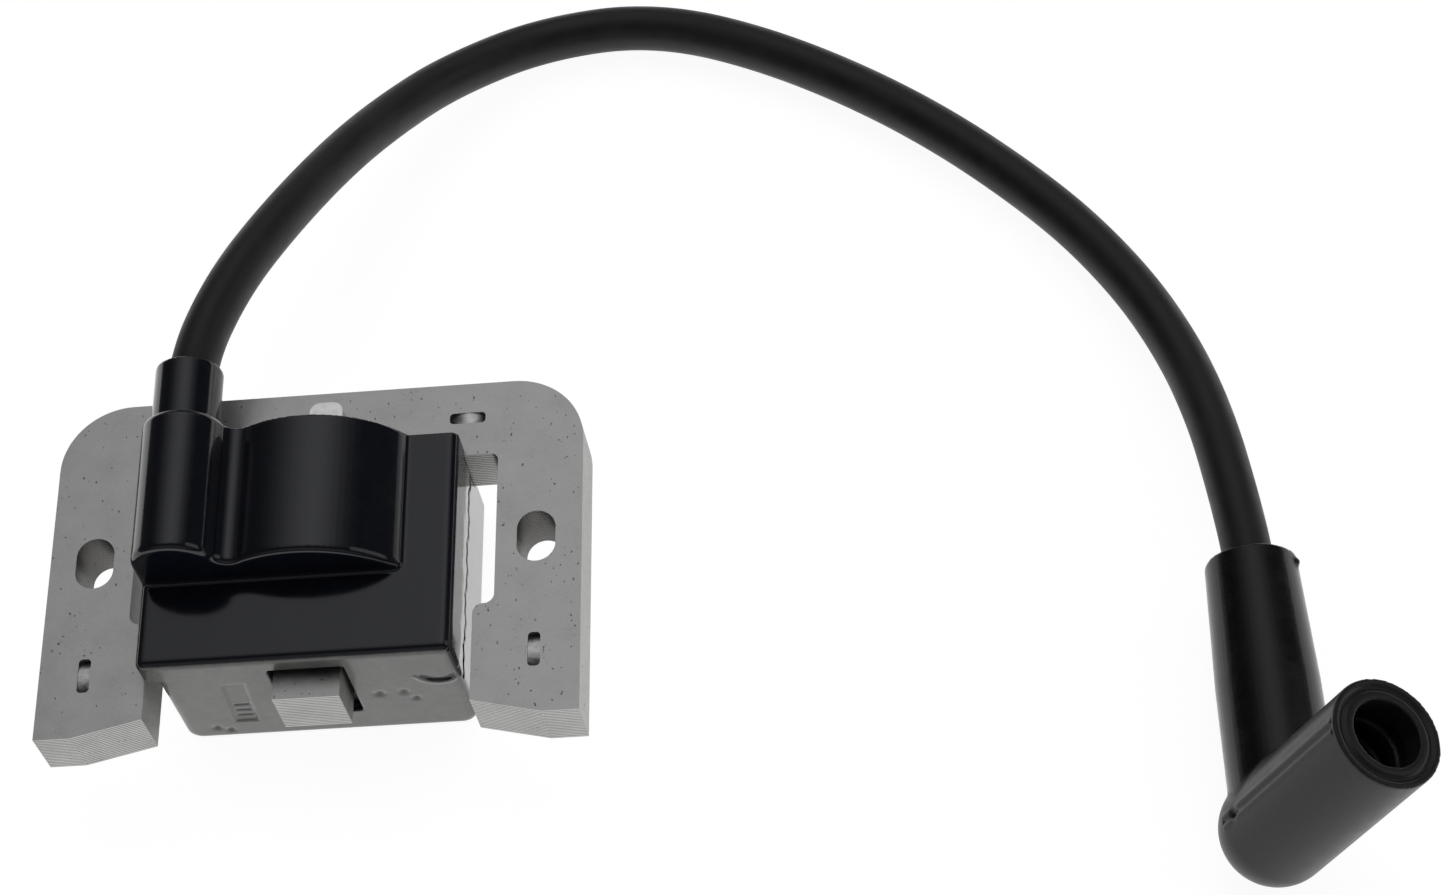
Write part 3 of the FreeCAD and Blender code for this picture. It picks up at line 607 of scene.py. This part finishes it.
def mark_boot(mesh):
    """Groove at the mouth, seam and gate scar on the barrel, flash at the end of the tube."""
    seam_side = BARREL_AXIS.cross(Vector((0, 1, 0))).normalized()
    across = BARREL_AXIS.cross(seam_side)
    flash_place = TUBE_AXIS * (TUBE_END - FLASH_FROM_END) + FLASH_SIDE * FLASH_OUT
    for vertex in mesh.vertices:
        arm = vertex.co / MM - ELBOW
        height = arm.dot(BARREL_AXIS)
        outward = arm - BARREL_AXIS * height
        radius = outward.length
        on_skin = abs(radius - BARREL_RADIUS) < SKIN_BAND
        if height > BARREL_MOUTH - MOUTH_FACE and radius > BORE_RADIUS + BORE_EDGE:
            sink = MOUTH_GROOVE_DEPTH * near(radius - MOUTH_GROOVE_RADIUS, MOUTH_GROOVE_WIDTH)
            vertex.co -= BARREL_AXIS * sink * MM
        elif on_skin and height > SEAM_FOOT and outward.dot(seam_side) > 0:
            sideways = outward.dot(across)
            lip = SEAM_LIP_SHARE * near(abs(sideways) - SEAM_LIP_AWAY, SEAM_LIP_WIDTH)
            sink = SEAM_DEPTH * (near(sideways, SEAM_WIDTH) - lip)
            sink += GATE_DEPTH * near(math.hypot(sideways, height - GATE_HEIGHT), GATE_RADIUS)
            vertex.co -= outward.normalized() * sink * MM
        elif arm.y > 0:
            flash = FLASH_SIZE * near((arm - flash_place).length, FLASH_WIDTH)
            vertex.co += FLASH_SIDE * flash * MM


def tongue_half_width(from_end):
    """Half the width of a tongue at a distance from its rounded end."""
    if from_end >= TONGUE_CORNER:
        return TONGUE_HALF_WIDTH
    step = TONGUE_CORNER - from_end
    return TONGUE_HALF_WIDTH - TONGUE_CORNER + math.sqrt(TONGUE_CORNER**2 - step**2)


def tongue_ring(bm, centre, lengthwise, share):
    """Four corners of a tongue's section; share runs from -1 to 1 along it."""
    along = share * TONGUE_HALF_LENGTH
    half = tongue_half_width(TONGUE_HALF_LENGTH - abs(along)) + TONGUE_OVERSIZE
    front = CORE_FRONT_Z - TONGUE_CROWN - (TONGUE_END_SINK - TONGUE_CROWN) * share**2
    back = CORE_BACK_Z - TONGUE_PROUD * (1 - share**2)
    corners = []
    for side, level in ((-half, back), (half, back), (half, front), (-half, front)):
        x, y = (along, side) if lengthwise else (side, along)
        corners.append(bm.verts.new(Vector((centre[0] + x, centre[1] + y, level)) * MM))
    return corners


def tongue_mesh(bm, centre, lengthwise):
    """One staked tongue, bowed so that its middle is nearly flush and its ends are sunk."""
    shares = [
        math.sin(math.pi / 2 * (2 * step / TONGUE_STEPS - 1)) for step in range(TONGUE_STEPS + 1)
    ]
    rings = [tongue_ring(bm, centre, lengthwise, share) for share in shares]
    for first, second in zip(rings, rings[1:]):
        for corner in range(4):
            following = (corner + 1) % 4
            bm.faces.new((first[corner], first[following], second[following], second[corner]))
    bm.faces.new(list(reversed(rings[0])))
    bm.faces.new(rings[-1])


def tongues(material):
    """The four tongues that hold the sheets together, two on the top bar and one on each leg."""
    bm = bmesh.new()
    for side in (-1, 1):
        tongue_mesh(bm, (side * TONGUE_TOP[0], TONGUE_TOP[1]), True)
        tongue_mesh(bm, (side * TONGUE_LEG[0], TONGUE_LEG[1]), False)
    bmesh.ops.recalc_face_normals(bm, faces=bm.faces)
    mesh = bpy.data.meshes.new("staked_tongues")
    bm.to_mesh(mesh)
    bm.free()
    piece = add_object("staked_tongues", mesh)
    bevel_edges(piece, TONGUE_EDGE, segments=3)
    mesh.materials.append(material)
    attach(piece, "coil_unit")
    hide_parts("core_tongues")
    return piece


def housing(material):
    """The black moulding round the pole, with its tower and collar."""
    piece = moulded("housing_moulding", "housing_shell", HOUSING_MELT)
    mark_housing(piece.data)
    piece.data.materials.append(material)
    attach(piece, "coil_unit")
    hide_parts("housing_shell")
    return piece


def boot(material):
    """The rubber elbow that goes on the spark plug."""
    piece = moulded("boot_moulding", "plug_boot", BOOT_MELT)
    mark_boot(piece.data)
    piece.data.materials.append(material)
    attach(piece, "boot")
    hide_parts("plug_boot")
    return piece


def dress_nodes():
    """Materials and small rounded edges for the CAD nodes that stay."""
    copper = wound_copper("coarse_copper", 0.5)
    fine_copper = wound_copper("fine_copper", 0.16)
    nylon = plain_surface("bobbin_nylon", (0.012, 0.012, 0.012), (0.022, 0.022, 0.022), 0.4)
    brass = plain_surface("plain_brass", (0.6, 0.42, 0.16), (0.8, 0.62, 0.32), 0.3, 0.4, 0.004, 1.0)
    wire = plain_surface("bare_copper", (0.5, 0.2, 0.09), (0.75, 0.36, 0.18), 0.32, 0.3, 0.01, 1.0)
    epoxy = plain_surface("component_epoxy", (0.015, 0.015, 0.016), (0.03, 0.03, 0.03), 0.45)
    spring_greys = (0.5, 0.5, 0.5), (0.66, 0.66, 0.65)
    spring = plain_surface("spring_steel", *spring_greys, 0.26, 0.3, 0.004, 1.0)
    laminate = plain_surface("board_laminate", (0.08, 0.2, 0.1), (0.15, 0.32, 0.17), 0.4, 0.35)
    dip = plain_surface("capacitor_dip", (0.45, 0.13, 0.04), (0.62, 0.22, 0.08), 0.25, 2.0)
    lacquer = plain_surface("resistor_lacquer", (0.6, 0.5, 0.32), (0.74, 0.64, 0.44), 0.35)
    materials = {
        "core_laminations": core_steel(),
        "kill_terminal": bright_tin(),
        "pole_bobbin": nylon,
        "trigger_winding": fine_copper,
        "charge_winding": fine_copper,
        "primary_winding": copper,
        "secondary_bobbin": nylon,
        "secondary_winding": fine_copper,
        "secondary_link": wire,
        "tower_contact": brass,
        "circuit_board": laminate,
        "storage_capacitor": dip,
        "switching_thyristor": epoxy,
        "rectifier_diodes": epoxy,
        "board_resistors": lacquer,
        "board_links": wire,
        "kill_link": wire,
        "potting_fill": cast_resin(),
        "earth_spring": spring,
        "plug_clip": brass,
        "clip_stem": brass,
        "lead_crimp": brass,
        "conductor_end": wire,
    }
    for node, material in materials.items():
        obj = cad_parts[node]
        obj.data.materials.clear()
        obj.data.materials.append(material)
        if node in ROUNDED_NODES:
            bevel_edges(obj, ROUNDED_NODES[node])


# ---------------------------------------------------------------- stage, light, camera


def table_top():
    """A wide white table that glows a little, as it does in the photograph."""
    mesh = bpy.data.meshes.new("table_top")
    sides = ((-1, -1), (1, -1), (1, 1), (-1, 1))
    corners = [(x * TABLE_HALF, y * TABLE_HALF, 0) for x, y in sides]
    mesh.from_pydata(corners, [], [(0, 1, 2, 3)])
    table = add_object("table_top", mesh)
    material = bpy.data.materials.new("white_table")
    material.use_nodes = True
    shader = material.node_tree.nodes["Principled BSDF"]
    shader.inputs["Base Color"].default_value = (TABLE_GREY, TABLE_GREY, TABLE_GREY, 1)
    shader.inputs["Specular IOR Level"].default_value = 0.0
    shader.inputs["Roughness"].default_value = 0.6
    shader.inputs["Emission Color"].default_value = (1, 1, 1, 1)
    shader.inputs["Emission Strength"].default_value = TABLE_SHINE
    mesh.materials.append(material)


def softbox(name, place, aim, sides, power):
    """A rectangular soft light at one place, turned towards another."""
    light = bpy.data.lights.new(name, "AREA")
    light.shape = "RECTANGLE"
    light.size, light.size_y = sides
    light.energy = power
    obj = add_object(name, light)
    obj.location = place
    obj.rotation_mode = "QUATERNION"
    obj.rotation_quaternion = (Vector(aim) - Vector(place)).to_track_quat("-Z", "Y")
    obj.visible_camera = False


def glow(nodes, direction):
    """A wide soft light high behind the coil, fading out smoothly on every side."""
    x, y, _ = nodes.parts(direction)
    across = nodes.times(nodes.rise(x, -0.75, 0.05), nodes.fall(x, 0.05, 0.68))
    away = nodes.times(nodes.rise(y, -0.3, 0.3), nodes.fall(y, 0.72, 1.0))
    return nodes.times(across, away)


def fill(nodes, direction):
    """A weaker soft light on the camera's side."""
    _, y, z = nodes.parts(direction)
    return nodes.times(nodes.fall(y, -0.9, -0.35), nodes.rise(z, 0.1, 0.5))


def studio():
    """A world that is bright by direction, and one soft light at the right."""
    world = bpy.data.worlds.new("studio")
    world.use_nodes = True
    nodes = Nodes(world.node_tree)
    background = world.node_tree.nodes["Background"]
    background.inputs["Color"].default_value = (0.97, 0.98, 1.0, 1)
    direction = nodes.add("TexCoord").outputs["Generated"]
    behind = nodes.times(glow(nodes, direction), GLOW_STRENGTH)
    light = nodes.maths("ADD", behind, AMBIENT_STRENGTH)
    light = nodes.maths("ADD", light, nodes.times(fill(nodes, direction), FILL_STRENGTH))
    nodes.link(light, background.inputs["Strength"])
    bpy.context.scene.world = world
    bpy.context.scene.view_settings.view_transform = "Standard"
    softbox("right_fill", RIGHT_FILL_PLACE, RIGHT_FILL_AIM, RIGHT_FILL_SIDES, RIGHT_FILL_POWER)


def camera():
    """The camera solved from the photograph, rolled about its line of sight."""
    data = bpy.data.cameras.new("camera")
    data.lens = CAMERA_LENS
    data.sensor_width = SENSOR_WIDTH
    data.clip_end = 10.0
    obj = add_object("camera", data)
    obj.location = CAMERA_PLACE
    obj.rotation_mode = "QUATERNION"
    level = (CAMERA_AIM - CAMERA_PLACE).to_track_quat("-Z", "Y")
    obj.rotation_quaternion = level @ Quaternion(UP, -CAMERA_ROLL)
    bpy.context.scene.camera = obj


camera()
lead = spark_lead(lead_jacket())
dress_nodes()
tongues(tongue_steel())
housing(gloss_moulding())
boot_piece = boot(boot_rubber())
table_top()
studio()
